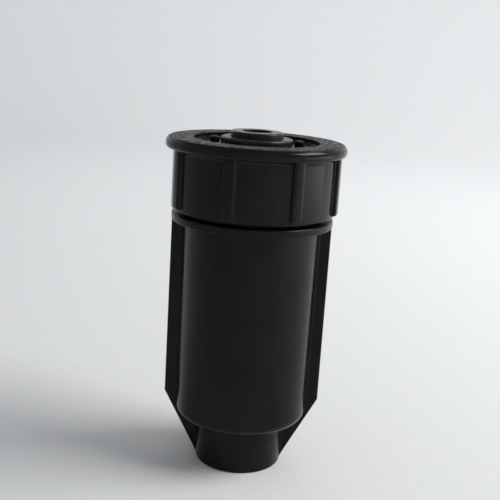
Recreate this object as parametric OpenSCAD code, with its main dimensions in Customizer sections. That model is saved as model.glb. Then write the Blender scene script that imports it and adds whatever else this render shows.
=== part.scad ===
// Key hider in the form of a pop-up lawn sprinkler head.
// A finned canister with a stepped-down inlet stub holds the keys. A screw cap closes it, with a
// ribbed skirt, a wide flange, and a dummy riser in a wiper seal at its centre.
// Millimetres. The origin is the centre of the stub's foot, and +Z points up to the cap.

/* [Canister] */
// Outside diameter of the inlet stub
stub_d = 28.5; // [24:0.1:32]
// Height of the stub, from its foot up to the shoulder
stub_h = 16; // [10:0.5:24]
// Rounding of the stub's foot edge
foot_round = 0.6; // [0.2:0.1:1.2]
// Outside diameter of the tube under the collar
tube_d = 43.8; // [40:0.1:44.4]
// Height of the tube, from the shoulder up to the collar
tube_h = 65.3; // [50:0.1:90]
// Draw taper of the tube and of its bore, for each side
draft_deg = 0.3; // [0:0.05:0.6]
// Wall thickness of the canister
wall = 2.2; // [1.6:0.1:2.8]
// Rounding of the tube's lower corner
shoulder_round = 3; // [1:0.1:4]
// Rounding in the lower corners of the bore
bore_round = 1.5; // [0.5:0.1:2.5]
// Diameter of the collar
collar_d = 51.6; // [48:0.1:54]
// Height of the collar
collar_h = 2.4; // [1.6:0.1:4]
// Rounding of the collar's two edges
collar_round = 0.5; // [0.2:0.1:0.7]
// Diameter of the neck at the root of its thread
neck_d = 44.6; // [44.4:0.1:45.4]
// Height of the neck above the collar
neck_h = 18.9; // [14:0.1:24]
// Rounding of the outer edge of the mouth
mouth_round = 0.6; // [0.2:0.1:1]

/* [Fins] */
// Width across the two fins
fin_span = 51.2; // [46:0.1:54]
// Thickness of a fin
fin_t = 2.6; // [1.6:0.1:4]
// Angle between a fin's cut lower end and the axis
fin_slant_deg = 28; // [20:1:45]
// Height of a fin's lowest point above the foot
fin_foot = 0.8; // [0.7:0.1:4]

/* [Cap] */
// Diameter of the flange
flange_d = 57; // [54:0.1:62]
// Thickness of the flange at its edge
flange_t = 3.6; // [3:0.1:4]
// Rounding of the flange's upper edge
flange_top_round = 1.8; // [0.8:0.1:1.9]
// Rounding of the flange's lower edge
flange_low_round = 1.1; // [0.4:0.1:1.2]
// Fillet between the flange and the skirt
flange_fillet = 1.2; // [0.4:0.1:1.3]
// Diameter of the skirt between its ribs
skirt_d = 52; // [50.8:0.1:52.6]
// Gap between the collar and the skirt's lower edge
skirt_gap = 1.4; // [0.8:0.1:3]
// Thickness of the cap's top under the dish
top_t = 2; // [1.6:0.1:3]
// Diameter of the dish
dish_d = 39.8; // [34:0.1:44]
// Depth of the dish below the flange's flat top
dish_depth = 1.7; // [1:0.1:2]
// Rounding of the dish's upper edge
dish_edge_round = 0.4; // [0.2:0.1:0.6]

/* [Grip ribs] */
// Number of ribs round the skirt
rib_count = 8; // [4:1:16]
// Width of a rib
rib_w = 3.7; // [3.2:0.1:7]
// Height of a rib above the skirt
rib_proud = 1.3; // [0.6:0.1:1.6]
// Rounding of a rib's lower corners
rib_round = 0.8; // [0.5:0.1:1.5]
// Height of a rib's lower end above the skirt's lower edge
rib_lift = 0.9; // [0.4:0.1:4]
// Angle of the first rib from the front, towards the right-hand fin
rib_phase_deg = 29; // [0:1:45]

/* [Studs] */
// Diameter of a stud in the dish
stud_d = 3; // [2.8:0.1:3.2]
// Height of a stud above the dish's floor
stud_h = 2; // [1.7:0.1:3]
// Rounding of a stud's head
stud_round = 0.7; // [0.3:0.1:0.7]
// Distance between the two studs' centres
stud_spacing = 26.5; // [26.5:0.1:30]

/* [Wiper seal] */
// Outside diameter of the wiper seal
seal_d = 22.6; // [20:0.1:23]
// Height of the seal's lip above the flange's flat top
seal_rise = 0.6; // [0.5:0.1:1.8]
// Depth of the seal's seat below the dish's floor
seal_sink = 0.8; // [0.5:0.1:1]
// Rounding of the seal's lip
seal_round = 0.6; // [0.2:0.1:0.8]

/* [Dummy riser] */
// Diameter of the riser's stem
riser_d = 16.6; // [14:0.1:17.4]
// Height of the riser's top above the flange's flat top
riser_rise = 2.5; // [2:0.1:4]
// Rounding of the riser's top edge
riser_round = 0.5; // [0.2:0.1:0.8]
// Diameter of the nozzle hole
nozzle_d = 9.6; // [6:0.1:11]
// Depth of the nozzle hole
nozzle_depth = 4; // [2:0.1:4.2]
// Diameter of the riser's flange under the cap's top
riser_flange_d = 22; // [19:0.1:26]
// Thickness of the riser's flange
riser_flange_t = 1; // [0.8:0.1:2.5]
// Wall thickness of the riser round its hollow underside
riser_wall = 2; // [1.4:0.1:2.6]
// Height of the snap bead that holds the riser
bead_h = 0.6; // [0.4:0.1:0.8]
// How far the snap bead stands proud of the stem
bead_proud = 0.35; // [0.25:0.05:0.5]

/* [Gasket and fits] */
// Thickness of the gasket
gasket_t = 1.2; // [0.8:0.1:2]
// How far the gasket stops inside the cap's bore and outside the canister's bore
gasket_inset = 0.4; // [0.3:0.05:0.6]
// Space between the neck and the cap's bore, which the thread fills
thread_room = 1.4; // [1.2:0.1:1.6]
// Gap round the riser's stem in the cap
stem_gap = 0.15; // [0.1:0.05:0.2]
// Gap round the wiper seal in its seat and on the stem
seal_gap = 0.05; // [0.05:0.01:0.1]

/* [Hidden] */
$fn = 96;
// Overlap that joins shapes or lets a cut break through
eps = 0.1;

stub_r = stub_d / 2;
tube_r = tube_d / 2;
neck_r = neck_d / 2;
collar_r = collar_d / 2;
fin_r = fin_span / 2;

// Levels, from the foot up
collar_z = stub_h + tube_h;
neck_z = collar_z + collar_h;
mouth_z = neck_z + neck_h;
ceiling_z = mouth_z + gasket_t;
dish_z = ceiling_z + top_t;
seat_z = dish_z - seal_sink;
flange_top_z = dish_z + dish_depth;
flange_z = flange_top_z - flange_t;
flange_mid_z = (flange_z + flange_low_round + flange_top_z - flange_top_round) / 2;
skirt_z = neck_z + skirt_gap;
riser_top_z = flange_top_z + riser_rise;

// The tube narrows towards its shoulder, and the bore with it
taper = tan(draft_deg);
tube_low_r = tube_r - tube_h * taper;
bore_r = neck_r - wall;
bore_z = stub_h + wall;
bore_low_r = tube_low_r - wall;
well_r = stub_r - wall;

flange_r = flange_d / 2;
skirt_r = skirt_d / 2;
cap_bore_r = neck_r + thread_room;
dish_r = dish_d / 2;
rib_z = skirt_z + rib_lift;
rib_len = flange_z + flange_low_round - rib_z;
seal_r = seal_d / 2;
riser_r = riser_d / 2;
stem_hole_r = riser_r + stem_gap;
riser_foot_z = ceiling_z - riser_flange_t;
nozzle_z = riser_top_z - nozzle_depth;
hollow_r = riser_r - riser_wall;
hollow_top_z = nozzle_z - riser_wall;

body_black = "#1b1c1d";
cap_black = "#202122";
rubber_black = "#141414";
gasket_grey = "#2b2b2b";

// Half section from r0 to r1 and z0 to z1, with its outer upper corner rounded
module round_top(r0, r1, z0, z1, corner) {
    translate([r0, z0])
        square([r1 - r0, z1 - z0 - corner]);
    translate([r0, z0])
        square([r1 - corner - r0, z1 - z0]);
    translate([r1 - corner, z1 - corner])
        circle(corner);
}

// The same half section with its outer lower corner rounded
module round_foot(r0, r1, z0, z1, corner) {
    translate([0, z0 + z1])
        mirror([0, 1])
            round_top(r0, r1, z0, z1, corner);
}

// Half section of a cup from z0 to z1, whose side goes from low_r to top_r above a rounded lower corner
module cup(low_r, top_r, z0, z1, corner) {
    square_h = corner + eps;
    translate([0, z0])
        square([low_r - corner, square_h]);
    translate([low_r - corner, z0 + corner])
        circle(corner);
    polygon([[0, z0 + corner], [low_r, z0 + corner], [top_r, z1], [0, z1]]);
}

// One fin, from the middle of the wall out to its edge, with its lower end cut on a slant
module fin() {
    root_r = stub_r - wall / 2;
    slant_h = (fin_r - stub_r) / tan(fin_slant_deg);
    rotate([90, 0, 0])
        linear_extrude(fin_t, center = true)
            polygon([
                [root_r, fin_foot],
                [stub_r, fin_foot],
                [fin_r, fin_foot + slant_h],
                [fin_r, collar_z + collar_round],
                [root_r, collar_z + collar_round]
            ]);
}

// Moulded canister: stub, tube, collar and neck round one stepped bore, and two opposite fins
module canister() {
    color(body_black)
        difference() {
            union() {
                rotate_extrude() {
                    round_foot(0, stub_r, 0, stub_h + eps, foot_round);
                    cup(tube_low_r, tube_r, stub_h, collar_z + eps, shoulder_round);
                    round_foot(0, collar_r, collar_z, collar_z + collar_h / 2, collar_round);
                    round_top(0, collar_r, collar_z + collar_h / 2, neck_z, collar_round);
                    round_top(0, neck_r, neck_z - eps, mouth_z, mouth_round);
                }
                for (turn = [0, 180])
                    rotate(turn)
                        fin();
            }
            rotate_extrude() {
                cup(bore_low_r, bore_r, bore_z, mouth_z + eps, bore_round);
                cup(well_r, well_r, wall, bore_z + eps, bore_round);
            }
        }
}

// Half section of the cap without its ribs and studs
module cap_section() {
    difference() {
        union() {
            translate([0, skirt_z])
                square([skirt_r, flange_mid_z - skirt_z]);
            round_top(0, flange_r, flange_mid_z, flange_top_z, flange_top_round);
            round_foot(0, flange_r, flange_z, flange_mid_z, flange_low_round);
            translate([skirt_r, flange_z - flange_fillet])
                difference() {
                    translate([-eps, 0])
                        square([flange_fillet + eps, flange_fillet + eps]);
                    translate([flange_fillet, 0])
                        circle(flange_fillet);
                }
        }
        translate([0, skirt_z - eps])
            square([cap_bore_r, ceiling_z - skirt_z + eps]);
        translate([0, dish_z])
            square([dish_r, dish_depth + eps]);
        translate([dish_r - eps, flange_top_z - dish_edge_round])
            difference() {
                square(dish_edge_round + eps);
                translate([dish_edge_round + eps, 0])
                    circle(dish_edge_round);
            }
        translate([0, seat_z])
            square([seal_r + seal_gap, seal_sink + eps]);
        translate([0, ceiling_z - eps])
            square([stem_hole_r, top_t + 2 * eps]);
    }
}

// Flat outline of one rib, with rounded lower corners, standing on its lower end
module rib_outline() {
    translate([-rib_w / 2, rib_round])
        square([rib_w, rib_len - rib_round]);
    translate([-rib_w / 2 + rib_round, 0])
        square([rib_w - 2 * rib_round, rib_len]);
    for (side = [-1, 1])
        translate([side * (rib_w / 2 - rib_round), rib_round])
            circle(rib_round);
}

// One rib at the front: a bar out of the skirt's wall, cut to a round outer face
module rib() {
    root_r = skirt_r - (skirt_r - cap_bore_r) / 2;
    intersection() {
        rotate_extrude()
            translate([root_r, rib_z])
                square([skirt_r + rib_proud - root_r, rib_len]);
        translate([0, -root_r, rib_z])
            rotate([90, 0, 0])
                linear_extrude(flange_r - root_r)
                    rib_outline();
    }
}

// Two round-headed studs in the dish, in line with the fins when the cap is tight
module studs() {
    for (side = [-1, 1])
        translate([side * stud_spacing / 2, 0, dish_z])
            rotate_extrude()
                round_top(0, stud_d / 2, -eps, stud_h, stud_round);
}

// Moulded screw cap: flange, dish, ribbed skirt and the seat of the wiper seal
module cap() {
    color(cap_black)
        union() {
            rotate_extrude()
                cap_section();
            for (i = [0 : rib_count - 1])
                rotate(rib_phase_deg + i * 360 / rib_count)
                    rib();
            studs();
        }
}

// Flat sealing ring between the mouth of the neck and the cap's ceiling
module cap_gasket() {
    color(gasket_grey)
        rotate_extrude()
            translate([bore_r + gasket_inset, mouth_z])
                square([cap_bore_r - bore_r - 2 * gasket_inset, gasket_t]);
}

// Rubber wiper seal: a lipped ring in its seat, relieved below for the riser's snap bead
module wiper_seal() {
    inner_r = riser_r + seal_gap;
    color(rubber_black)
        rotate_extrude()
            difference() {
                round_top(inner_r, seal_r, seat_z, flange_top_z + seal_rise, seal_round);
                translate([inner_r - eps, seat_z - eps])
                    square([bead_proud + stem_gap + eps, bead_h + stem_gap + eps]);
            }
}

// Dummy riser: a stem with a blind nozzle hole, held by its flange below and its bead above
module riser() {
    color(cap_black)
        rotate_extrude()
            difference() {
                union() {
                    translate([0, riser_foot_z])
                        square([riser_flange_d / 2, riser_flange_t]);
                    round_top(0, riser_r, riser_foot_z, riser_top_z, riser_round);
                    translate([riser_r - eps, seat_z])
                        square([bead_proud + eps, bead_h]);
                }
                translate([0, nozzle_z])
                    square([nozzle_d / 2, nozzle_depth + eps]);
                translate([0, riser_foot_z - eps])
                    square([hollow_r, hollow_top_z - riser_foot_z + eps]);
            }
}

canister();
cap();
cap_gasket();
wiper_seal();
riser();
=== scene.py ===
import math

import bmesh
import bpy
from mathutils import Matrix, Vector


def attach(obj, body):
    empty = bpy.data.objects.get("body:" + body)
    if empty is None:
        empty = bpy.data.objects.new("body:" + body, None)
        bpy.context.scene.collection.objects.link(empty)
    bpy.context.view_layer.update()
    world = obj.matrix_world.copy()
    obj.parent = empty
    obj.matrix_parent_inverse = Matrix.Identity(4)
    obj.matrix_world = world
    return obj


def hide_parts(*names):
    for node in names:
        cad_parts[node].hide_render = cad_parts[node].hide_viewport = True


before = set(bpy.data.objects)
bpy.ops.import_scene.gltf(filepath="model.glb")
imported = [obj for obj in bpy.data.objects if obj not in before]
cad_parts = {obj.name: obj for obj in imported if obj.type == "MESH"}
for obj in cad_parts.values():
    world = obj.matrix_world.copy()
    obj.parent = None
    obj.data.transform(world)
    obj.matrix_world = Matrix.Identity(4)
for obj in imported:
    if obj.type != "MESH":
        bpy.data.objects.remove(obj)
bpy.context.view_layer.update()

# Canister: the body of the hider, one deep injection moulding in black polypropylene.
# Stub, tube, collar and neck stand round one stepped bore with a wall of about 2.2 mm.
# The mould fills through a gate under the foot, which leaves a torn nub in a dimple.
MM = 0.001
WALL = 2.2
STUB_R = 14.25
STUB_ROUND = 0.6
SHOULDER_Z = 16.0
SHOULDER_ROUND = 3.0
TUBE_H = 65.3
TUBE_TAPER = math.tan(math.radians(0.3))
TUBE_TOP_R = 21.9
TUBE_LOW_R = TUBE_TOP_R - TUBE_H * TUBE_TAPER
COLLAR_R = 25.8
COLLAR_H = 2.4
COLLAR_Z = SHOULDER_Z + TUBE_H
COLLAR_ROUND = 0.5
NECK_R = 22.3
NECK_H = 18.9
NECK_Z = COLLAR_Z + COLLAR_H
NECK_FILLET = 0.4
MOUTH_Z = NECK_Z + NECK_H
MOUTH_ROUND = 0.6
MOUTH_INNER_ROUND = 0.35
BORE_R = NECK_R - WALL
BORE_LOW_R = TUBE_LOW_R - WALL
BORE_FLOOR_Z = SHOULDER_Z + WALL
BORE_FILLET = 1.5
WELL_R = STUB_R - WALL
WELL_FLOOR_Z = WALL
WELL_ROUND = 0.5
GATE_DIMPLE_R = 2.6
GATE_DIMPLE_Z = 0.5
GATE_DIMPLE_FILLET = 0.2
GATE_NUB_R = 0.7
GATE_NUB_Z = 0.12
GATE_NUB_FILLET = 0.12
GATE_EDGE_ROUND = 0.15

# The mesh: steps in a full turn and in one rounded edge, the strip that holds each end of a long
# straight flat, the shortest straight that gets one, and the gap at which points become one.
TURN_STEPS = 192
ARC_STEPS = 6
HOLD = 0.2
HOLD_FROM = 4 * HOLD
MERGE_GAP = 0.0005


def half_section(corners, ring=False):
    """Corners (radius, height, rounding) in mm as a fine outline, with its straights held flat."""
    drawn = []
    for index, (radius, height, rounding) in enumerate(corners):
        corner = Vector((radius, height))
        at_end = index in (0, len(corners) - 1) and not ring
        if at_end or rounding == 0:
            drawn.append(corner)
            continue
        back = (Vector(corners[index - 1][:2]) - corner).normalized()
        onward = (Vector(corners[(index + 1) % len(corners)][:2]) - corner).normalized()
        half_angle = back.angle(onward) / 2
        centre = corner + (back + onward).normalized() * rounding / math.sin(half_angle)
        first = corner + back * rounding / math.tan(half_angle) - centre
        last = corner + onward * rounding / math.tan(half_angle) - centre
        for step in range(ARC_STEPS + 1):
            drawn.append(centre + first.slerp(last, step / ARC_STEPS).normalized() * rounding)
    outline = []
    for index, point in enumerate(drawn):
        outline.append(point)
        if index == len(drawn) - 1 and not ring:
            break
        straight = drawn[(index + 1) % len(drawn)] - point
        if straight.length > HOLD_FROM:
            outline.append(point + straight.normalized() * HOLD)
            outline.append(point + straight - straight.normalized() * HOLD)
    return outline


def new_piece(name, shape):
    """A smooth mesh object from a bmesh in mm, with its faces turned outwards."""
    bmesh.ops.remove_doubles(shape, verts=shape.verts, dist=MERGE_GAP)
    bmesh.ops.recalc_face_normals(shape, faces=shape.faces)
    shape.transform(Matrix.Scale(MM, 4))
    mesh = bpy.data.meshes.new(name)
    shape.to_mesh(mesh)
    shape.free()
    mesh.shade_smooth()
    piece = bpy.data.objects.new(name, mesh)
    bpy.context.scene.collection.objects.link(piece)
    return piece


def turned(name, outline, ring=False, steps=TURN_STEPS):
    """An outline of (radius, height) turned once round Z. Points on the axis become poles."""
    shape = bmesh.new()
    rows = []
    for radius, height in outline:
        around = 1 if radius == 0 else steps
        row = []
        for step in range(around):
            angle = math.tau * step / steps
            x = radius * math.cos(angle)
            y = radius * math.sin(angle)
            row.append(shape.verts.new((x, y, height)))
        rows.append(row)
    if ring:
        rows.append(rows[0])
    for low, high in zip(rows, rows[1:]):
        if len(low) == len(high) == 1:
            continue
        for step in range(steps):
            ahead = (step + 1) % steps
            face = [low[step % len(low)], low[ahead % len(low)]]
            face += [high[ahead % len(high)], high[step % len(high)]]
            shape.faces.new(list(dict.fromkeys(face)))
    return new_piece(name, shape)


canister = turned("canister_body", half_section([
    (0, GATE_NUB_Z, 0),
    (GATE_NUB_R, GATE_NUB_Z, GATE_EDGE_ROUND),
    (GATE_NUB_R, GATE_DIMPLE_Z, GATE_NUB_FILLET),
    (GATE_DIMPLE_R, GATE_DIMPLE_Z, GATE_DIMPLE_FILLET),
    (GATE_DIMPLE_R, 0, GATE_EDGE_ROUND),
    (STUB_R, 0, STUB_ROUND),
    (STUB_R, SHOULDER_Z, STUB_ROUND),
    (TUBE_LOW_R, SHOULDER_Z, SHOULDER_ROUND),
    (TUBE_TOP_R, COLLAR_Z, COLLAR_ROUND),
    (COLLAR_R, COLLAR_Z, COLLAR_ROUND),
    (COLLAR_R, NECK_Z, COLLAR_ROUND),
    (NECK_R, NECK_Z, NECK_FILLET),
    (NECK_R, MOUTH_Z, MOUTH_ROUND),
    (BORE_R, MOUTH_Z, MOUTH_INNER_ROUND),
    (BORE_LOW_R, BORE_FLOOR_Z, BORE_FILLET),
    (WELL_R, BORE_FLOOR_Z, WELL_ROUND),
    (WELL_R, WELL_FLOOR_Z, BORE_FILLET),
    (0, WELL_FLOOR_Z, 0),
]))

# Black polypropylene off polished steel: nearly black and glossy, with shallow sink waves about
# 2 mm wide along the draw and duller patches where the steel was stoned by hand. The two halves
# of the mould leave a line in the fins' plane, 0.1 mm wide and drawn at 0.3 mm so that it shows.
CANISTER_COLOURS = ("#0b0c0d", "#141617")
CANISTER_ROUGHNESS = (0.15, 0.25)
CANISTER_SPECULAR = 0.15
POLYPROPYLENE_IOR = 1.49
GLOSS_PATCH_MM = 14
SINK_WIDTH_MM = 2.2
SINK_LENGTH_MM = 90
CANISTER_SINK_MM = 0.05
PARTING_MM = 0.3
PARTING_PROUD_MM = 0.06

# Noise can run from 0 to 1, but it seldom leaves this range.
NOISE_LOW = 0.3
NOISE_HIGH = 0.7


def linear(hex_colour):
    """An sRGB hex colour as linear red, green, blue and alpha."""
    levels = [int(hex_colour[place:place + 2], 16) / 255 for place in (1, 3, 5)]
    return [((c + 0.055) / 1.055) ** 2.4 if c > 0.04045 else c / 12.92 for c in levels] + [1.0]


def add_node(tree, kind, sockets=None, **settings):
    """Adds a node, applies its settings, and sets or links its input sockets."""
    node = tree.nodes.new(kind)
    for setting, value in settings.items():
        setattr(node, setting, value)
    for socket, value in (sockets or {}).items():
        if isinstance(value, bpy.types.NodeSocket):
            tree.links.new(value, node.inputs[socket])
        else:
            node.inputs[socket].default_value = value
    return node


def new_material(name):
    """A new material with its node tree, its shader, and the node that gives places on the piece."""
    material = bpy.data.materials.new(name)
    material.use_nodes = True
    tree = material.node_tree
    return material, tree, tree.nodes["Principled BSDF"], add_node(tree, "ShaderNodeTexCoord")


def gloss_patches(tree, place, patch_mm, colours, roughness, detail=4, dark_to=NOISE_LOW):
    """Sockets for a colour and a roughness that drift in patches between the two given of each."""
    patches = add_node(tree, "ShaderNodeTexNoise", {
        "Vector": place.outputs["Object"],
        "Scale": 1 / (patch_mm * MM),
        "Detail": detail,
    })
    tone = add_node(tree, "ShaderNodeValToRGB", {"Fac": patches.outputs["Fac"]})
    for stop, position, colour in zip(tone.color_ramp.elements, (dark_to, NOISE_HIGH), colours):
        stop.position = position
        stop.color = linear(colour)
    dulled = add_node(tree, "ShaderNodeMapRange", {
        "Value": patches.outputs["Fac"],
        "From Min": NOISE_LOW,
        "From Max": NOISE_HIGH,
        "To Min": roughness[0],
        "To Max": roughness[1],
    })
    return tone.outputs["Color"], dulled.outputs["Result"]


def sink_waves(tree, place, depth_mm, strength):
    """The bent normal of the waves that shrinking plastic leaves along the draw."""
    along_draw = add_node(tree, "ShaderNodeMapping", {
        "Vector": place.outputs["Object"],
        "Scale": (1, 1, SINK_WIDTH_MM / SINK_LENGTH_MM),
    })
    sinks = add_node(tree, "ShaderNodeTexNoise", {
        "Vector": along_draw.outputs["Vector"],
        "Scale": 1 / (SINK_WIDTH_MM * MM),
        "Detail": 2,
    })
    waves = add_node(tree, "ShaderNodeBump", {
        "Height": sinks.outputs["Fac"],
        "Strength": strength,
        "Distance": depth_mm * MM,
    })
    return waves.outputs["Normal"]


canister_plastic, tree, shader, place = new_material("black_polypropylene_drawn_gloss")
colour, roughness = gloss_patches(tree, place, GLOSS_PATCH_MM, CANISTER_COLOURS, CANISTER_ROUGHNESS)
across = add_node(tree, "ShaderNodeSeparateXYZ", {"Vector": place.outputs["Object"]})
from_plane = add_node(tree, "ShaderNodeMath", {0: across.outputs["Y"]}, operation="ABSOLUTE")
parting = add_node(tree, "ShaderNodeMapRange", {
    "Value": from_plane.outputs["Value"],
    "From Max": PARTING_MM / 2 * MM,
    "To Min": 1.0,
    "To Max": 0.0,
}, interpolation_type="SMOOTHSTEP")
relief = add_node(tree, "ShaderNodeBump", {
    "Height": parting.outputs["Result"],
    "Strength": 1.0,
    "Distance": PARTING_PROUD_MM * MM,
    "Normal": sink_waves(tree, place, CANISTER_SINK_MM, strength=0.5),
})
tree.links.new(colour, shader.inputs["Base Color"])
tree.links.new(roughness, shader.inputs["Roughness"])
tree.links.new(relief.outputs["Normal"], shader.inputs["Normal"])
shader.inputs["IOR"].default_value = POLYPROPYLENE_IOR
shader.inputs["Specular IOR Level"].default_value = CANISTER_SPECULAR
canister.data.materials.append(canister_plastic)
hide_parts("canister")
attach(canister, "canister")

# Fins: two flat blades, moulded with the canister in its parting plane, which stop it turning
# in the ground as on a real sprinkler body. Each runs from the collar down to the foot, where
# its lower end is cut on a slant. The roots are filleted into the wall.
FIN_COUNT = 2
FIN_EDGE_R = 25.6
FIN_HALF_T = 1.3
FIN_FOOT_Z = 0.8
FIN_SLANT = math.tan(math.radians(28))
FIN_SLANT_TOP_Z = FIN_FOOT_Z + (FIN_EDGE_R - STUB_R) / FIN_SLANT
FIN_EDGE_ROUND = 0.45
FIN_ROOT_FILLET = 0.7
FIN_SUNK = 0.5
FIN_EDGE_STEPS = 4

# A rounding takes no more than this share of the width that stands proud of the wall. Strips of
# this share of the flat between the roundings hold it at both ends.
FIN_ROUND_SHARE = 0.4
FIN_HOLD_SHARE = 0.1

# The wall steps out from the stub to the shoulder between two rows, this far above the shoulder.
SHOULDER_STEP = 0.08


def canister_wall(height):
    """Outer radius of the canister's wall where a fin stands on it."""
    if height < SHOULDER_Z + SHOULDER_STEP:
        return STUB_R
    rise = SHOULDER_Z + SHOULDER_ROUND - height
    if rise > 0:
        return TUBE_LOW_R - SHOULDER_ROUND + math.sqrt(SHOULDER_ROUND ** 2 - rise ** 2)
    return TUBE_LOW_R + (height - SHOULDER_Z) * TUBE_TAPER


def node_tree(name, sizes):
    """An empty geometry tree whose named inputs are the given sizes."""
    tree = bpy.data.node_groups.new(name, "GeometryNodeTree")
    tree.interface.new_socket("Geometry", in_out="INPUT", socket_type="NodeSocketGeometry")
    for label, value in sizes.items():
        kind = "NodeSocketInt" if isinstance(value, int) else "NodeSocketFloat"
        tree.interface.new_socket(label, in_out="INPUT", socket_type=kind)
    tree.interface.new_socket("Geometry", in_out="OUTPUT", socket_type="NodeSocketGeometry")
    return tree


def grow(piece, tree, sizes):
    """Runs a geometry tree on a piece and leaves the result as its plain mesh."""
    modifier = piece.modifiers.new(tree.name, "NODES")
    modifier.node_group = tree
    for socket in tree.interface.items_tree:
        if socket.in_out == "INPUT" and socket.name in sizes:
            modifier[socket.identifier] = sizes[socket.name]
    graph = bpy.context.evaluated_depsgraph_get()
    mesh = bpy.data.meshes.new_from_object(piece.evaluated_get(graph), depsgraph=graph)
    piece.modifiers.remove(modifier)
    piece.data = mesh


def repeat_round_axis(piece, material, sizes):
    """Copies a piece round Z: Count copies, the first one turned by First Angle."""
    tree = node_tree(piece.name + "_pattern", sizes)
    given = add_node(tree, "NodeGroupInput")
    points = add_node(tree, "GeometryNodePoints", {"Count": given.outputs["Count"]})
    index = add_node(tree, "GeometryNodeInputIndex")
    spacing = add_node(tree, "ShaderNodeMath", {
        0: math.tau,
        1: given.outputs["Count"],
    }, operation="DIVIDE")
    angle = add_node(tree, "ShaderNodeMath", {
        0: index.outputs["Index"],
        1: spacing.outputs["Value"],
        2: given.outputs["First Angle"],
    }, operation="MULTIPLY_ADD")
    turn = add_node(tree, "FunctionNodeAxisAngleToRotation", {
        "Axis": (0, 0, 1),
        "Angle": angle.outputs["Value"],
    })
    copies = add_node(tree, "GeometryNodeInstanceOnPoints", {
        "Points": points.outputs["Points"],
        "Instance": given.outputs["Geometry"],
        "Rotation": turn.outputs["Rotation"],
    })
    real = add_node(tree, "GeometryNodeRealizeInstances", {"Geometry": copies.outputs["Instances"]})
    finish = add_node(tree, "GeometryNodeSetMaterial", {
        "Geometry": real.outputs["Geometry"],
        "Material": material,
    })
    add_node(tree, "NodeGroupOutput", {"Geometry": finish.outputs["Geometry"]})
    grow(piece, tree, sizes)


# Rows of a fin's mesh from its foot up: along the slant beside the stub, over the shoulder's
# round, round the corner where the slant ends, up the straight edge, and just into the collar.
fin_levels = [0.3, 0.6, 1.0, 2.0, 4.0, 7.0, 10.0, 13.0, 15.0]
fin_levels += [SHOULDER_Z + up for up in (0.06, 0.1, 0.3, 0.7, 1.2, 1.8, 2.4, 3.0, 4.0, 5.0, 5.6)]
fin_levels += [FIN_SLANT_TOP_Z + up for up in (-0.15, 0.0, 0.15, 0.45, 1.05, 1.85)]
fin_levels += [30.0, 40.0, 50.0, 60.0, 70.0, 80.0]
fin_levels += [COLLAR_Z + 0.4, COLLAR_Z + 0.5]
quarter = [math.pi / 2 * step / FIN_EDGE_STEPS for step in range(FIN_EDGE_STEPS + 1)]
shape = bmesh.new()
rows = []
for level in fin_levels:
    root = canister_wall(level)
    edge = min(FIN_EDGE_R, STUB_R + (level - FIN_FOOT_Z) * FIN_SLANT)
    proud = max(edge - root, 0.0)
    fillet = min(FIN_ROOT_FILLET, FIN_ROUND_SHARE * proud)
    tip = min(FIN_EDGE_ROUND, FIN_ROUND_SHARE * proud)
    foot = min(root, edge)
    hold = FIN_HOLD_SHARE * (proud - fillet - tip)
    side = [(foot - FIN_SUNK, FIN_HALF_T + fillet)]
    for angle in quarter:
        side.append((
            foot + fillet * (1 - math.cos(angle)),
            FIN_HALF_T + fillet * (1 - math.sin(angle)),
        ))
    side.append((foot + fillet + hold, FIN_HALF_T))
    side.append((edge - tip - hold, FIN_HALF_T))
    for angle in quarter:
        side.append((
            edge - tip * (1 - math.sin(angle)),
            FIN_HALF_T - tip * (1 - math.cos(angle)),
        ))
    loop = [(x, -y) for x, y in side] + [(x, y) for x, y in reversed(side)]
    rows.append([shape.verts.new((x, y, level)) for x, y in loop])
for low, high in zip(rows, rows[1:]):
    for step in range(len(low)):
        ahead = (step + 1) % len(low)
        shape.faces.new([low[step], low[ahead], high[ahead], high[step]])
shape.faces.new(rows[0])
shape.faces.new(rows[-1])
fins = new_piece("canister_fins", shape)
repeat_round_axis(fins, canister_plastic, {"Count": FIN_COUNT, "First Angle": 0.0})
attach(fins, "canister")

# Neck thread: a single right-hand ridge with sloping flanks, moulded on the canister's neck.
# It rises 4 mm a turn, fades into the wall at both ends, and leaves a plain lip above it.
THREAD_PITCH = 4.0
THREAD_HEIGHT = 1.05
THREAD_BASE = 1.7
THREAD_CREST = 0.6
THREAD_ROUND = 0.18
THREAD_ROUND_STEPS = 3
THREAD_SUNK = 0.25
THREAD_RUN_OUT = 0.07
THREAD_TURN_STEPS = 96
THREAD_MERGE_GAP = 0.002
THREAD_FORM = {
    "Pitch": THREAD_PITCH * MM,
    "Height": (THREAD_HEIGHT + THREAD_SUNK) * MM,
    "Base": THREAD_BASE * MM,
    "Crest": THREAD_CREST * MM,
    "Edge Round": THREAD_ROUND * MM,
    "Sunk": THREAD_SUNK * MM,
    "Run Out": THREAD_RUN_OUT,
}
NECK_THREAD_TURNS = 3.6
NECK_THREAD_Z = NECK_Z + THREAD_PITCH / 2


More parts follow.
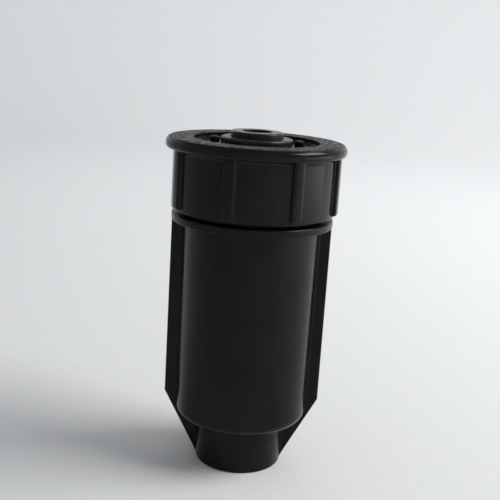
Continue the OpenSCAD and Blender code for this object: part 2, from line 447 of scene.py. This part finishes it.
def thread_ridge(name, material, sizes):
    """A ridge swept on a helix. Its crest points outwards where Side is 1, inwards where it is -1."""
    tree = node_tree(name + "_sweep", sizes)
    given = add_node(tree, "NodeGroupInput")
    rise = add_node(tree, "ShaderNodeMath", {
        0: given.outputs["Pitch"],
        1: given.outputs["Turns"],
    }, operation="MULTIPLY")
    helix = add_node(tree, "GeometryNodeCurveSpiral", {
        "Resolution": THREAD_TURN_STEPS,
        "Rotations": given.outputs["Turns"],
        "Start Radius": given.outputs["Root Radius"],
        "End Radius": given.outputs["Root Radius"],
        "Height": rise.outputs["Value"],
        "Reverse": True,
    })
    upright = add_node(tree, "GeometryNodeSetCurveNormal", {
        "Curve": helix.outputs["Curve"],
    }, mode="Z_UP")
    outline = add_node(tree, "GeometryNodeCurvePrimitiveQuadrilateral", {
        "Height": given.outputs["Height"],
        "Bottom Width": given.outputs["Base"],
        "Top Width": given.outputs["Crest"],
        "Offset": 0.0,
    }, mode="TRAPEZOID")
    eased = add_node(tree, "GeometryNodeFilletCurve", {
        "Curve": outline.outputs["Curve"],
        "Count": THREAD_ROUND_STEPS,
        "Radius": given.outputs["Edge Round"],
        "Limit Radius": True,
    }, mode="POLY")
    middle = add_node(tree, "ShaderNodeMath", {
        0: given.outputs["Height"],
        1: 0.5,
    }, operation="MULTIPLY")
    sunk = add_node(tree, "ShaderNodeMath", {
        0: middle.outputs["Value"],
        1: given.outputs["Sunk"],
    }, operation="SUBTRACT")
    sided = add_node(tree, "ShaderNodeMath", {
        0: sunk.outputs["Value"],
        1: given.outputs["Side"],
    }, operation="MULTIPLY")
    shift = add_node(tree, "ShaderNodeCombineXYZ", {"X": sided.outputs["Value"]})
    flip = add_node(tree, "ShaderNodeCombineXYZ", {"X": 1.0, "Y": given.outputs["Side"], "Z": 1.0})
    outward = add_node(tree, "GeometryNodeTransform", {
        "Geometry": eased.outputs["Curve"],
        "Translation": shift.outputs["Vector"],
        "Rotation": (0, 0, -math.pi / 2),
        "Scale": flip.outputs["Vector"],
    })
    along = add_node(tree, "GeometryNodeSplineParameter")
    from_end = add_node(tree, "ShaderNodeMath", {
        0: along.outputs["Factor"],
        1: 0.5,
    }, operation="PINGPONG")
    fade = add_node(tree, "ShaderNodeMapRange", {
        "Value": from_end.outputs["Value"],
        "From Max": given.outputs["Run Out"],
    }, interpolation_type="SMOOTHSTEP")
    swept = add_node(tree, "GeometryNodeCurveToMesh", {
        "Curve": upright.outputs["Curve"],
        "Profile Curve": outward.outputs["Geometry"],
        "Scale": fade.outputs["Result"],
        "Fill Caps": True,
    })
    start = add_node(tree, "ShaderNodeCombineXYZ", {"Z": given.outputs["Start Height"]})
    placed = add_node(tree, "GeometryNodeTransform", {
        "Geometry": swept.outputs["Mesh"],
        "Translation": start.outputs["Vector"],
    })
    real = add_node(tree, "GeometryNodeRealizeInstances", {"Geometry": placed.outputs["Geometry"]})
    finish = add_node(tree, "GeometryNodeSetMaterial", {
        "Geometry": real.outputs["Geometry"],
        "Material": material,
    })
    add_node(tree, "NodeGroupOutput", {"Geometry": finish.outputs["Geometry"]})
    ridge = bpy.data.objects.new(name, bpy.data.meshes.new(name))
    bpy.context.scene.collection.objects.link(ridge)
    grow(ridge, tree, sizes)
    shape = bmesh.new()
    shape.from_mesh(ridge.data)
    bmesh.ops.remove_doubles(shape, verts=shape.verts, dist=THREAD_MERGE_GAP * MM)
    bmesh.ops.recalc_face_normals(shape, faces=shape.faces)
    shape.to_mesh(ridge.data)
    shape.free()
    ridge.data.shade_smooth()
    return ridge


neck_thread = thread_ridge("neck_thread", canister_plastic, THREAD_FORM | {
    "Root Radius": NECK_R * MM,
    "Turns": NECK_THREAD_TURNS,
    "Side": 1.0,
    "Start Height": NECK_THREAD_Z * MM,
})
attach(neck_thread, "canister")

# Gasket: a flat ring cut from black rubber sheet, lying loose in the cap's bore.
# The canister's mouth presses it against the cap's ceiling and keeps rain off the keys.
THREAD_ROOM = 1.4
CAP_BORE_R = NECK_R + THREAD_ROOM
GASKET_INSET = 0.4
GASKET_IN_R = BORE_R + GASKET_INSET
GASKET_OUT_R = CAP_BORE_R - GASKET_INSET
GASKET_T = 1.2
GASKET_ROUND = 0.12
gasket = turned("cap_gasket_ring", half_section([
    (GASKET_IN_R, MOUTH_Z, GASKET_ROUND),
    (GASKET_OUT_R, MOUTH_Z, GASKET_ROUND),
    (GASKET_OUT_R, MOUTH_Z + GASKET_T, GASKET_ROUND),
    (GASKET_IN_R, MOUTH_Z + GASKET_T, GASKET_ROUND),
], ring=True), ring=True)

# Cut sheet rubber: dull charcoal with the fine pebble of the press cloth, about 0.4 mm.
GASKET_DARK = "#1b1b1b"
GASKET_LIGHT = "#2a2a2a"
GASKET_ROUGHNESS = (0.62, 0.78)
SHEET_RUBBER_IOR = 1.52
PEBBLE_MM = 0.4
PEBBLE_DEPTH_MM = 0.04
gasket_rubber, tree, shader, place = new_material("black_sheet_rubber_pebbled")
pebble = add_node(tree, "ShaderNodeTexVoronoi", {
    "Vector": place.outputs["Object"],
    "Scale": 1 / (PEBBLE_MM * MM),
}, feature="SMOOTH_F1")
tone = add_node(tree, "ShaderNodeValToRGB", {"Fac": pebble.outputs["Distance"]})
tone.color_ramp.elements[0].color = linear(GASKET_LIGHT)
tone.color_ramp.elements[1].color = linear(GASKET_DARK)
relief = add_node(tree, "ShaderNodeBump", {
    "Height": pebble.outputs["Distance"],
    "Strength": 0.5,
    "Distance": PEBBLE_DEPTH_MM * MM,
})
roughness = add_node(tree, "ShaderNodeMapRange", {
    "Value": pebble.outputs["Distance"],
    "To Min": GASKET_ROUGHNESS[0],
    "To Max": GASKET_ROUGHNESS[1],
})
tree.links.new(tone.outputs["Color"], shader.inputs["Base Color"])
tree.links.new(roughness.outputs["Result"], shader.inputs["Roughness"])
tree.links.new(relief.outputs["Normal"], shader.inputs["Normal"])
shader.inputs["IOR"].default_value = SHEET_RUBBER_IOR
gasket.data.materials.append(gasket_rubber)
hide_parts("cap_gasket")
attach(gasket, "gasket")

# Cap: a screw cap moulded in black polypropylene, the same as the canister's.
# Its bullnose flange hides the hole in the lawn, and the flange's flat top is sand-textured;
# the dish, with the seat for the wiper seal in its floor, is polished.
CEILING_Z = MOUTH_Z + GASKET_T
CEILING_FILLET = 0.5
TOP_T = 2.0
DISH_R = 19.9
DISH_Z = CEILING_Z + TOP_T
DISH_DEPTH = 1.7
DISH_ROUND = 0.4
FLANGE_R = 28.5
FLANGE_T = 3.6
FLANGE_TOP_Z = DISH_Z + DISH_DEPTH
FLANGE_TOP_ROUND = 1.8
FLANGE_Z = FLANGE_TOP_Z - FLANGE_T
FLANGE_LOW_ROUND = 1.1
FLANGE_FILLET = 1.2
SKIRT_R = 26.0
SKIRT_GAP = 1.4
SKIRT_Z = NECK_Z + SKIRT_GAP
SKIRT_ROUND = 0.4
SKIRT_INNER_ROUND = 0.5
SEAT_R = 11.35
SEAT_DEPTH = 0.8
SEAT_Z = DISH_Z - SEAT_DEPTH
SEAT_ROUND = 0.12
SEAT_FILLET = 0.1
STEM_HOLE_R = 8.45
STEM_HOLE_ROUND = 0.1
STEM_HOLE_LOW_ROUND = 0.15
cap = turned("cap_shell", half_section([
    (CAP_BORE_R, SKIRT_Z, SKIRT_INNER_ROUND),
    (SKIRT_R, SKIRT_Z, SKIRT_ROUND),
    (SKIRT_R, FLANGE_Z, FLANGE_FILLET),
    (FLANGE_R, FLANGE_Z, FLANGE_LOW_ROUND),
    (FLANGE_R, FLANGE_TOP_Z, FLANGE_TOP_ROUND),
    (DISH_R, FLANGE_TOP_Z, DISH_ROUND),
    (DISH_R, DISH_Z, DISH_ROUND),
    (SEAT_R, DISH_Z, SEAT_ROUND),
    (SEAT_R, SEAT_Z, SEAT_FILLET),
    (STEM_HOLE_R, SEAT_Z, STEM_HOLE_ROUND),
    (STEM_HOLE_R, CEILING_Z, STEM_HOLE_LOW_ROUND),
    (CAP_BORE_R, CEILING_Z, CEILING_FILLET),
], ring=True), ring=True)

# Black polypropylene off a mould that is part polished, part spark-eroded: the flange's top
# scatters light from a sand grain, and everything below stays glossy, with sink waves down the
# skirt as on the canister. The real grain is about 0.3 mm. It is drawn at 0.6 mm, in duller and
# brighter clusters of about 1 mm, so that it shows as a speckle.
CAP_COLOURS = ("#0b0c0d", "#141617")
CAP_ROUGHNESS = (0.13, 0.22)
CAP_SPECULAR = 0.17
CAP_SINK_MM = 0.08
SAND_MM = 0.6
SAND_DEPTH_MM = 0.16
SAND_CLUSTER_MM = 1.1
SAND_ROUGHNESS = (0.24, 0.7)
SAND_NOISE_LOW = 0.35
SAND_NOISE_HIGH = 0.65
SAND_Z = FLANGE_TOP_Z - 0.4
SAND_FULL_Z = SAND_Z + 0.3
cap_plastic, tree, shader, place = new_material("black_polypropylene_sand_and_polish")
colour, polished = gloss_patches(tree, place, GLOSS_PATCH_MM, CAP_COLOURS, CAP_ROUGHNESS)
height = add_node(tree, "ShaderNodeSeparateXYZ", {"Vector": place.outputs["Object"]})
on_top = add_node(tree, "ShaderNodeMapRange", {
    "Value": height.outputs["Z"],
    "From Min": SAND_Z * MM,
    "From Max": SAND_FULL_Z * MM,
}, interpolation_type="SMOOTHSTEP")
on_skirt = add_node(tree, "ShaderNodeMapRange", {
    "Value": height.outputs["Z"],
    "From Min": (FLANGE_Z - FLANGE_FILLET) * MM,
    "From Max": FLANGE_Z * MM,
    "To Min": 1.0,
    "To Max": 0.0,
}, interpolation_type="SMOOTHSTEP")
clusters = add_node(tree, "ShaderNodeTexNoise", {
    "Vector": place.outputs["Object"],
    "Scale": 1 / (SAND_CLUSTER_MM * MM),
    "Detail": 2,
})
sanded = add_node(tree, "ShaderNodeMapRange", {
    "Value": clusters.outputs["Fac"],
    "From Min": SAND_NOISE_LOW,
    "From Max": SAND_NOISE_HIGH,
    "To Min": SAND_ROUGHNESS[0],
    "To Max": SAND_ROUGHNESS[1],
})
roughness = add_node(tree, "ShaderNodeMix", {
    "Factor": on_top.outputs["Result"],
    "A": polished,
    "B": sanded.outputs["Result"],
})
sand = add_node(tree, "ShaderNodeTexVoronoi", {
    "Vector": place.outputs["Object"],
    "Scale": 1 / (SAND_MM * MM),
}, feature="SMOOTH_F1")
grain = add_node(tree, "ShaderNodeMath", {
    0: sand.outputs["Distance"],
    1: on_top.outputs["Result"],
}, operation="MULTIPLY")
relief = add_node(tree, "ShaderNodeBump", {
    "Height": grain.outputs["Value"],
    "Strength": 1.0,
    "Distance": SAND_DEPTH_MM * MM,
    "Normal": sink_waves(tree, place, CAP_SINK_MM, strength=on_skirt.outputs["Result"]),
})
tree.links.new(colour, shader.inputs["Base Color"])
tree.links.new(roughness.outputs["Result"], shader.inputs["Roughness"])
tree.links.new(relief.outputs["Normal"], shader.inputs["Normal"])
shader.inputs["IOR"].default_value = POLYPROPYLENE_IOR
shader.inputs["Specular IOR Level"].default_value = CAP_SPECULAR
cap.data.materials.append(cap_plastic)
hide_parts("cap")
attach(cap, "cap")

# Grip ribs: eight flat bars down the cap's skirt, moulded with it. They grow out of the
# flange's underside and end just above the skirt's edge, with wide rounded edges all along.
RIB_COUNT = 8
RIB_FIRST_ANGLE = math.radians(29)
RIB_LIFT = 0.9
RIB_FOOT_Z = SKIRT_Z + RIB_LIFT
RIB_TOP_Z = FLANGE_Z + FLANGE_LOW_ROUND
RIB_PROUD = 1.3
RIB_FACE_R = SKIRT_R + RIB_PROUD
RIB_HALF_W = 1.85
RIB_CORNER = 0.8
RIB_CORNER_STEPS = 8
RIB_EDGE_IN = 0.75
RIB_EDGE_DEEP = 0.6
RIB_EDGE_STEPS = 4
RIB_FILLET = 0.35
RIB_FILLET_STEPS = 3
RIB_SUNK = 0.5
RIB_COLUMNS = 6
shape = bmesh.new()

# The outline of a rib on the skirt, down its left side, round its foot and up again: sideways
# place, height, and the two parts of the direction that points away from the rib.
rib_levels = [RIB_TOP_Z, RIB_TOP_Z - 1.0, RIB_TOP_Z - 9.0, RIB_FOOT_Z + RIB_CORNER + 0.3]
rim = [(-RIB_HALF_W, level, -1, 0) for level in rib_levels]
for step in range(RIB_CORNER_STEPS + 1):
    angle = math.pi / 2 * step / RIB_CORNER_STEPS
    out_x = -math.cos(angle)
    out_z = -math.sin(angle)
    rim.append((
        -RIB_HALF_W + RIB_CORNER + RIB_CORNER * out_x,
        RIB_FOOT_Z + RIB_CORNER + RIB_CORNER * out_z,
        out_x,
        out_z,
    ))
rim += [(-x, z, -out_x, out_z) for x, z, out_x, out_z in reversed(rim)]

# The way from the rib's face over its rounded edge and down the fillet into the skirt: distance
# out of that outline, and radius.
steps_out = []
for step in range(RIB_EDGE_STEPS + 1):
    angle = math.pi / 2 * step / RIB_EDGE_STEPS
    inset = RIB_EDGE_IN * (1 - math.sin(angle))
    steps_out.append((-inset, RIB_FACE_R - RIB_EDGE_DEEP * (1 - math.cos(angle))))
for step in range(RIB_FILLET_STEPS + 1):
    angle = math.pi / 2 * step / RIB_FILLET_STEPS
    flare = RIB_FILLET * (1 - math.cos(angle))
    steps_out.append((flare, SKIRT_R + RIB_FILLET * (1 - math.sin(angle))))
steps_out.append((RIB_FILLET, SKIRT_R - RIB_SUNK))


def rib_point(x, z, radius):
    """A point at sideways place x and height z on a drum of that radius, at the front."""
    return shape.verts.new((x, -math.sqrt(radius ** 2 - x ** 2), z))


walls = []
for x, z, out_x, out_z in rim:
    walls.append([rib_point(x + out_x * out, z + out_z * out, radius) for out, radius in steps_out])
face_rows = []
for index in range(len(rim) // 2):
    left = walls[index][0]
    right = walls[len(rim) - 1 - index][0]
    row = [left]
    for column in range(1, RIB_COLUMNS):
        share = column / RIB_COLUMNS
        row.append(rib_point(left.co.x + (right.co.x - left.co.x) * share, left.co.z, RIB_FACE_R))
    face_rows.append(row + [right])
for upper, lower in zip(face_rows, face_rows[1:]):
    for column in range(RIB_COLUMNS):
        shape.faces.new([upper[column], lower[column], lower[column + 1], upper[column + 1]])
for near, far in zip(walls, walls[1:]):
    along_foot = list(reversed(face_rows[-1][1:-1])) if near[0] is face_rows[-1][0] else []
    shape.faces.new([near[0], near[1], far[1], far[0]] + along_foot)
    for step in range(1, len(steps_out) - 1):
        shape.faces.new([near[step], near[step + 1], far[step + 1], far[step]])
shape.faces.new([wall[-1] for wall in walls])
shape.faces.new(walls[0] + list(reversed(walls[-1])) + list(reversed(face_rows[0][1:-1])))
ribs = new_piece("cap_grip_ribs", shape)
repeat_round_axis(ribs, cap_plastic, {"Count": RIB_COUNT, "First Angle": RIB_FIRST_ANGLE})
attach(ribs, "cap")

# Studs: two round-headed pegs in the dish, moulded with the cap in line with the fins.
# They stand for the screw heads of a real sprinkler and give a finger something to push.
STUD_COUNT = 2
STUD_X = 13.25
STUD_R = 1.5
STUD_H = 2.0
STUD_TOP_Z = DISH_Z + STUD_H
STUD_HEAD_ROUND = 0.7
STUD_FILLET = 0.25
STUD_ROOT_R = STUD_R + 0.3
STUD_ROOT_Z = DISH_Z - 0.4
STUD_ROOT_ROUND = 0.05
STUD_STEPS = 48
studs = turned("cap_studs", half_section([
    (0, STUD_ROOT_Z, 0),
    (STUD_ROOT_R, STUD_ROOT_Z, STUD_ROOT_ROUND),
    (STUD_ROOT_R, DISH_Z, STUD_ROOT_ROUND),
    (STUD_R, DISH_Z, STUD_FILLET),
    (STUD_R, STUD_TOP_Z, STUD_HEAD_ROUND),
    (0, STUD_TOP_Z, 0),
]), steps=STUD_STEPS)
studs.data.transform(Matrix.Translation((STUD_X * MM, 0, 0)))
repeat_round_axis(studs, cap_plastic, {"Count": STUD_COUNT, "First Angle": 0.0})
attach(studs, "cap")

# Cap thread: the ridge inside the skirt, moulded with it in the cap's polypropylene. It has the
# form of the neck's and lies half a pitch above it, so that each runs in the other's groove.
CAP_THREAD_TURNS = 2.75
CAP_THREAD_Z = NECK_THREAD_Z + THREAD_PITCH / 2
cap_thread = thread_ridge("cap_thread", cap_plastic, THREAD_FORM | {
    "Root Radius": CAP_BORE_R * MM,
    "Turns": CAP_THREAD_TURNS,
    "Side": -1.0,
    "Start Height": CAP_THREAD_Z * MM,
})
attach(cap_thread, "cap")

# Wiper seal: a ring of moulded black rubber, pressed into its seat round the riser's stem.
# Its rounded lip stands a little above the flange, as on a sprinkler that wipes its riser.
# Its lower inner corner is cut back, to leave room for the bead on the stem.
STEM_GAP = 0.15
RISER_R = STEM_HOLE_R - STEM_GAP
SEAL_GAP = 0.05
SEAL_R = SEAT_R - SEAL_GAP
SEAL_IN_R = RISER_R + SEAL_GAP
SEAL_RISE = 0.6
SEAL_TOP_Z = FLANGE_TOP_Z + SEAL_RISE
SEAL_LIP_ROUND = 0.6
SEAL_WIPE_ROUND = 0.25
SEAL_FOOT_ROUND = 0.15
SEAL_RELIEF_R = SEAL_IN_R + 0.5
SEAL_RELIEF_Z = SEAT_Z + 0.75
SEAL_RELIEF_ROUND = 0.1
seal = turned("wiper_seal_ring", half_section([
    (SEAL_RELIEF_R, SEAT_Z, SEAL_RELIEF_ROUND),
    (SEAL_R, SEAT_Z, SEAL_FOOT_ROUND),
    (SEAL_R, SEAL_TOP_Z, SEAL_LIP_ROUND),
    (SEAL_IN_R, SEAL_TOP_Z, SEAL_WIPE_ROUND),
    (SEAL_IN_R, SEAL_RELIEF_Z, SEAL_RELIEF_ROUND),
    (SEAL_RELIEF_R, SEAL_RELIEF_Z, SEAL_RELIEF_ROUND),
], ring=True), ring=True)

# Moulded EPDM: black, less glossy than the plastic, with a soft bloom in patches of about 3 mm.
SEAL_COLOURS = ("#0d0d0e", "#191a1a")
SEAL_ROUGHNESS = (0.27, 0.38)
SEAL_SPECULAR = 0.42
EPDM_IOR = 1.5
BLOOM_MM = 3
BLOOM_DETAIL = 6
BLOOM_FROM = 0.35
seal_rubber, tree, shader, place = new_material("black_epdm_moulded")
colour, roughness = gloss_patches(
    tree, place, BLOOM_MM, SEAL_COLOURS, SEAL_ROUGHNESS, detail=BLOOM_DETAIL, dark_to=BLOOM_FROM
)
tree.links.new(colour, shader.inputs["Base Color"])
tree.links.new(roughness, shader.inputs["Roughness"])
shader.inputs["IOR"].default_value = EPDM_IOR
shader.inputs["Specular IOR Level"].default_value = SEAL_SPECULAR
seal.data.materials.append(seal_rubber)
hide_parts("wiper_seal")
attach(seal, "cap")

# Dummy riser: the stem of the sprinkler, moulded in the cap's plastic with a blind nozzle hole.
# It is pushed up from inside until its bead snaps over the cap's top; its flange stops it below.
RISER_RISE = 2.5
RISER_TOP_Z = FLANGE_TOP_Z + RISER_RISE
RISER_ROUND = 0.5
RISER_WALL = 2.0
NOZZLE_R = 4.8
NOZZLE_DEPTH = 4.0
NOZZLE_Z = RISER_TOP_Z - NOZZLE_DEPTH
NOZZLE_ROUND = 0.3
NOZZLE_FILLET = 0.4
HOLLOW_R = RISER_R - RISER_WALL
HOLLOW_Z = NOZZLE_Z - RISER_WALL
HOLLOW_FILLET = 0.4
HOLLOW_EDGE_ROUND = 0.2
RISER_FLANGE_R = 11.0
RISER_FLANGE_T = 1.0
RISER_FOOT_Z = CEILING_Z - RISER_FLANGE_T
RISER_FLANGE_LOW_ROUND = 0.3
RISER_FLANGE_TOP_ROUND = 0.2
STEM_FILLET = 0.12
BEAD_PROUD = 0.35
BEAD_R = RISER_R + BEAD_PROUD
BEAD_H = 0.6
BEAD_TOP_Z = SEAT_Z + BEAD_H
BEAD_TOP_ROUND = 0.2
BEAD_LOW_ROUND = 0.1
BEAD_FILLET = 0.1
riser = turned("dummy_riser", half_section([
    (0, HOLLOW_Z, 0),
    (HOLLOW_R, HOLLOW_Z, HOLLOW_FILLET),
    (HOLLOW_R, RISER_FOOT_Z, HOLLOW_EDGE_ROUND),
    (RISER_FLANGE_R, RISER_FOOT_Z, RISER_FLANGE_LOW_ROUND),
    (RISER_FLANGE_R, CEILING_Z, RISER_FLANGE_TOP_ROUND),
    (RISER_R, CEILING_Z, STEM_FILLET),
    (RISER_R, SEAT_Z, BEAD_FILLET),
    (BEAD_R, SEAT_Z, BEAD_LOW_ROUND),
    (BEAD_R, BEAD_TOP_Z, BEAD_TOP_ROUND),
    (RISER_R, BEAD_TOP_Z, BEAD_FILLET),
    (RISER_R, RISER_TOP_Z, RISER_ROUND),
    (NOZZLE_R, RISER_TOP_Z, NOZZLE_ROUND),
    (NOZZLE_R, NOZZLE_Z, NOZZLE_FILLET),
    (0, NOZZLE_Z, 0),
]))

# The riser's polypropylene is polished all over, so it mirrors the sky more than the flange does.
# Its base colours are lighter than the cap's, though the plastic is the same: a painted reflection of
# the sky.
RISER_PAINTED_REFLECTION_COLOURS = ("#161718", "#202122")
RISER_ROUGHNESS = (0.22, 0.32)
RISER_SPECULAR = 0.3
RISER_PATCH_MM = GLOSS_PATCH_MM / 3
riser_plastic, tree, shader, place = new_material("black_polypropylene_polished_painted_reflection")
colour, roughness = gloss_patches(tree, place, RISER_PATCH_MM, RISER_PAINTED_REFLECTION_COLOURS, RISER_ROUGHNESS)
tree.links.new(colour, shader.inputs["Base Color"])
tree.links.new(roughness, shader.inputs["Roughness"])
shader.inputs["IOR"].default_value = POLYPROPYLENE_IOR
shader.inputs["Specular IOR Level"].default_value = RISER_SPECULAR
riser.data.materials.append(riser_plastic)
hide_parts("riser")
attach(riser, "cap")

# Stage: a round sweep of pale paper under the part. It lies flat, bends up and rises to a wall on
# every side, so that no edge of it shows. The paper is uncoated and matte, with the faint clouding
# of its fibres in patches of about 4 mm.
SWEEP_R = 1500
SWEEP_H = 1100
SWEEP_BEND = 600
SWEEP_BEND_STEPS = 16
SWEEP_FLAT_R = SWEEP_R - SWEEP_BEND
SWEEP_INNER_R = 300
PAPER_TINT = "#e8e9ea"
PAPER_SHADE = "#e2e3e4"
PAPER_ROUGHNESS = 0.9
PAPER_SPECULAR = 0.1
PAPER_FIBRE_MM = 4
sweep_outline = [Vector((0, 0)), Vector((SWEEP_INNER_R, 0)), Vector((SWEEP_FLAT_R, 0))]
for step in range(1, SWEEP_BEND_STEPS + 1):
    angle = math.pi / 2 * step / SWEEP_BEND_STEPS
    sweep_outline.append(Vector((
        SWEEP_FLAT_R + SWEEP_BEND * math.sin(angle),
        SWEEP_BEND - SWEEP_BEND * math.cos(angle),
    )))
sweep_outline.append(Vector((SWEEP_R, SWEEP_H)))
sweep = turned("paper_sweep", sweep_outline)
sweep.data.flip_normals()
paper, tree, shader, place = new_material("pale_paper_matte")
fibre = add_node(tree, "ShaderNodeTexNoise", {
    "Vector": place.outputs["Object"],
    "Scale": 1 / (PAPER_FIBRE_MM * MM),
    "Detail": 3,
})
tone = add_node(tree, "ShaderNodeValToRGB", {"Fac": fibre.outputs["Fac"]})
tone.color_ramp.elements[0].color = linear(PAPER_SHADE)
tone.color_ramp.elements[1].color = linear(PAPER_TINT)
tree.links.new(tone.outputs["Color"], shader.inputs["Base Color"])
shader.inputs["Roughness"].default_value = PAPER_ROUGHNESS
shader.inputs["Specular IOR Level"].default_value = PAPER_SPECULAR
sweep.data.materials.append(paper)

# Light: one large soft box high on the right, a long low panel on the right for the skirt's
# bright bay, a lamp for the wall behind and to the right, and a dim even sky.
# Each lamp has a name, a place and a target in metres, a width, a height, and its watts.
ON_PART = (0, 0, 0.08)
ON_WALL = (0.5, 1.4, 0.3)
LAMPS = [
    ("soft_box_right", (0.85, -0.064, 0.83), ON_PART, 0.74, 0.48, 11.2),
    ("panel_right", (0.5, -0.05, 0.07), ON_PART, 0.42, 0.12, 0.26),
    ("wall_lamp", (0.35, 0.4, 1.0), ON_WALL, 1.0, 0.4, 6.0),
]
SKY_TINT = "#e9edf0"
SKY_STRENGTH = 0.3
for name, where, target, width, tall, watts in LAMPS:
    lamp = bpy.data.lights.new(name, "AREA")
    lamp.shape = "RECTANGLE"
    lamp.size = width
    lamp.size_y = tall
    lamp.energy = watts
    holder = bpy.data.objects.new(name, lamp)
    holder.location = where
    aim = Vector(target) - holder.location
    holder.rotation_euler = aim.to_track_quat("-Z", "Y").to_euler()
    holder.visible_camera = False
    bpy.context.scene.collection.objects.link(holder)
sky = bpy.data.worlds.new("even_sky")
sky.use_nodes = True
glow = sky.node_tree.nodes["Background"]
glow.inputs["Color"].default_value = linear(SKY_TINT)
glow.inputs["Strength"].default_value = SKY_STRENGTH
bpy.context.scene.world = sky

# Camera: in front of the part and a little above its cap, looking down by about 13 degrees.
# It is square to the front and leans a little, as the photograph does.
CAMERA_PLACE = (0, -0.274, 0.1365)
CAMERA_PITCH = math.radians(76.69)
CAMERA_ROLL = math.radians(3.65)
CAMERA_LENS_MM = 62.74
CAMERA_SENSOR_MM = 36.0
CAMERA_NEAR = 0.01
lens = bpy.data.cameras.new("photo_camera")
lens.lens = CAMERA_LENS_MM
lens.sensor_width = CAMERA_SENSOR_MM
lens.clip_start = CAMERA_NEAR
camera = bpy.data.objects.new("photo_camera", lens)
camera.matrix_world = (
    Matrix.Translation(CAMERA_PLACE)
    @ Matrix.Rotation(CAMERA_PITCH, 4, "X")
    @ Matrix.Rotation(CAMERA_ROLL, 4, "Z")
)
bpy.context.scene.collection.objects.link(camera)
bpy.context.scene.camera = camera
bpy.context.scene.view_settings.view_transform = "Standard"
